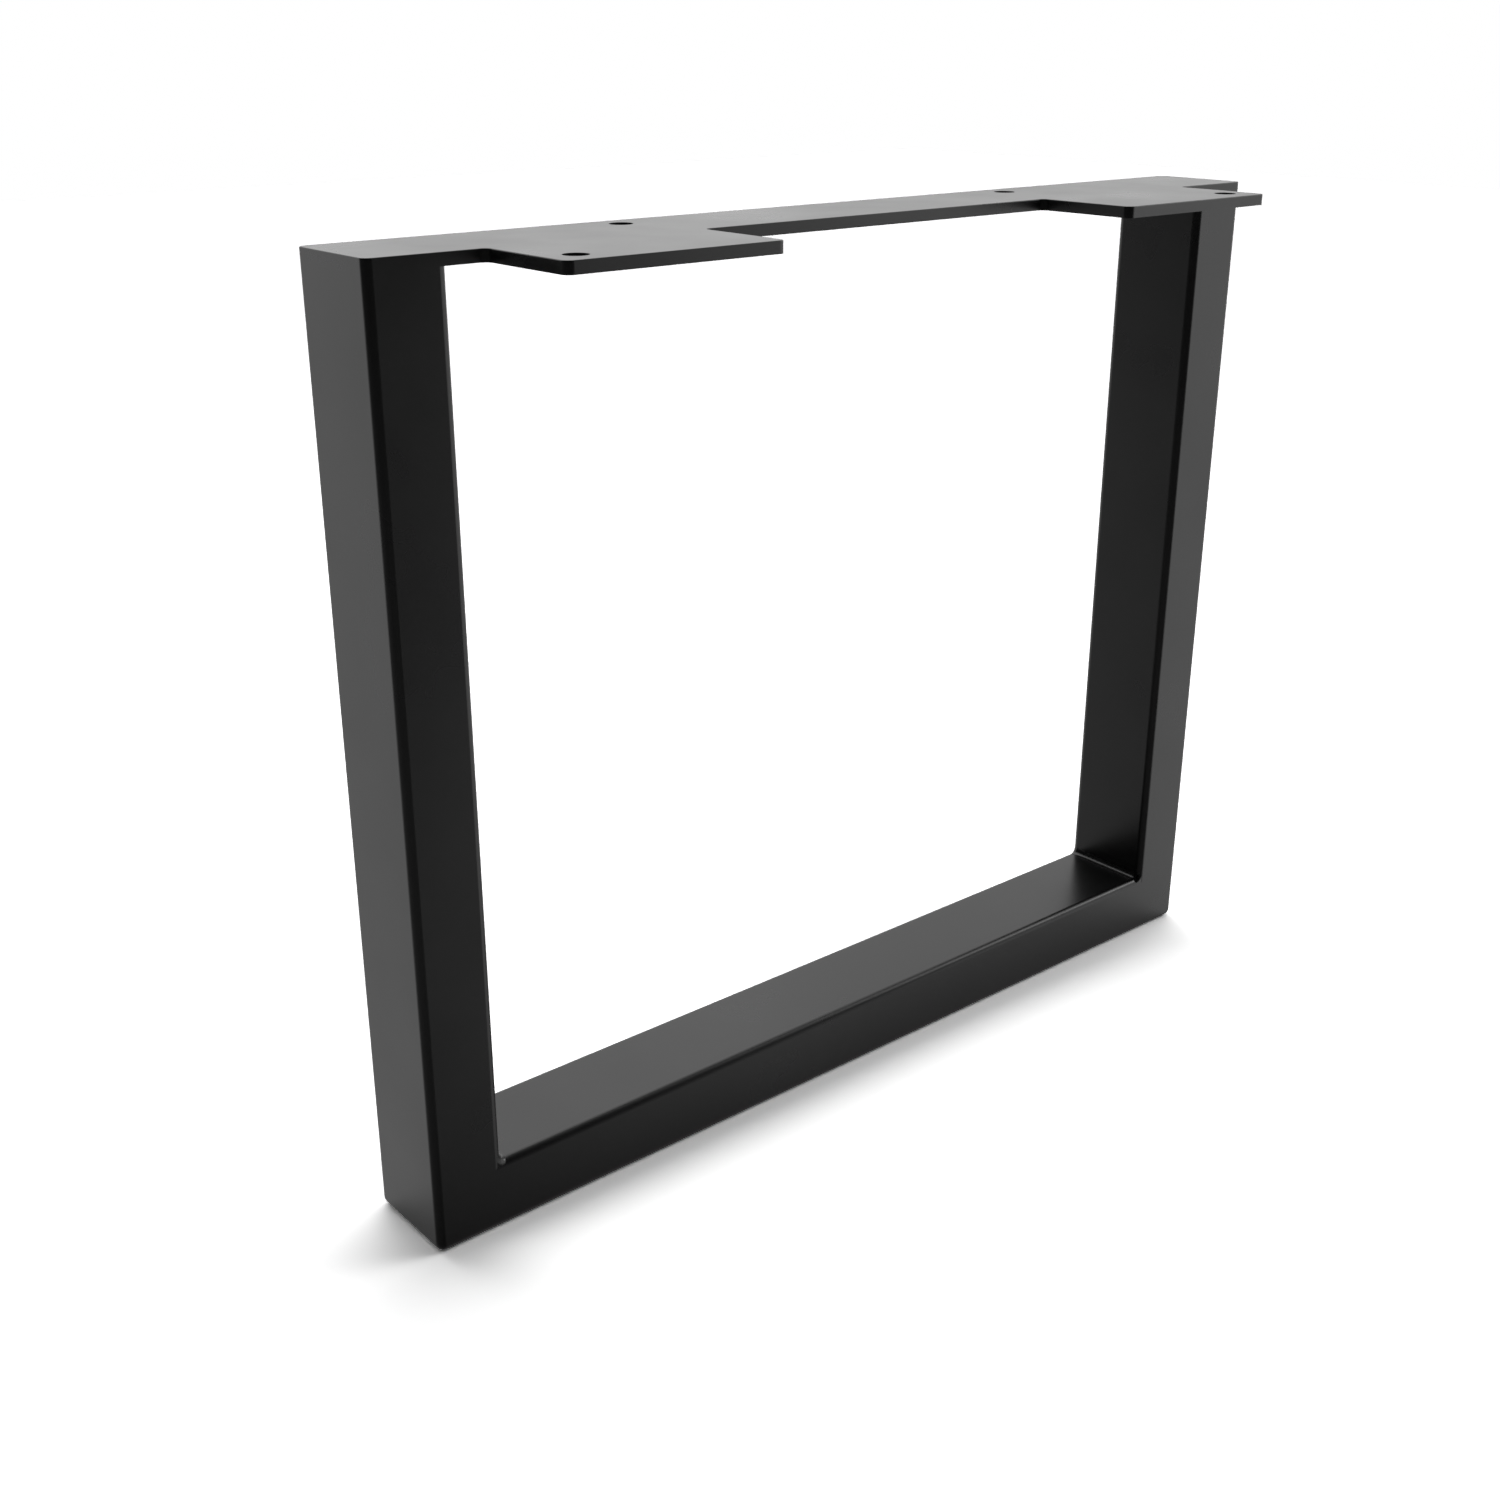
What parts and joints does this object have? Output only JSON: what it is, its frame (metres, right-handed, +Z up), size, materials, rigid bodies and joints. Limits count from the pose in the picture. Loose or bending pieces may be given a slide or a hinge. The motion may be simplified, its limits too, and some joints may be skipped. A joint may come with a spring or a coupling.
{
  "type": "furniture leg",
  "caption": "U-shaped steel furniture leg of mitred, welded box tube, powder coated black, under a flat fixing plate whose tabs and screw holes carry a table or bench top.",
  "frame": {"origin": "on the floor, under the middle of the bottom rail and midway between the tube's front and back", "axes": "+X along the bottom rail, +Z up towards the fixing plate; the plate's tabs point to -Y"},
  "size_m": [0.6, 0.12, 0.5],
  "materials": {
    "black_coat": "satin black powder coat on steel"
  },
  "bodies": {
    "root": {"left_post": "black_coat", "right_post": "black_coat", "bottom_rail": "black_coat", "top_plate": "black_coat", "left_corner_weld": "black_coat", "right_corner_weld": "black_coat", "left_plate_weld": "black_coat", "right_plate_weld": "black_coat"}
  },
  "joints": []
}
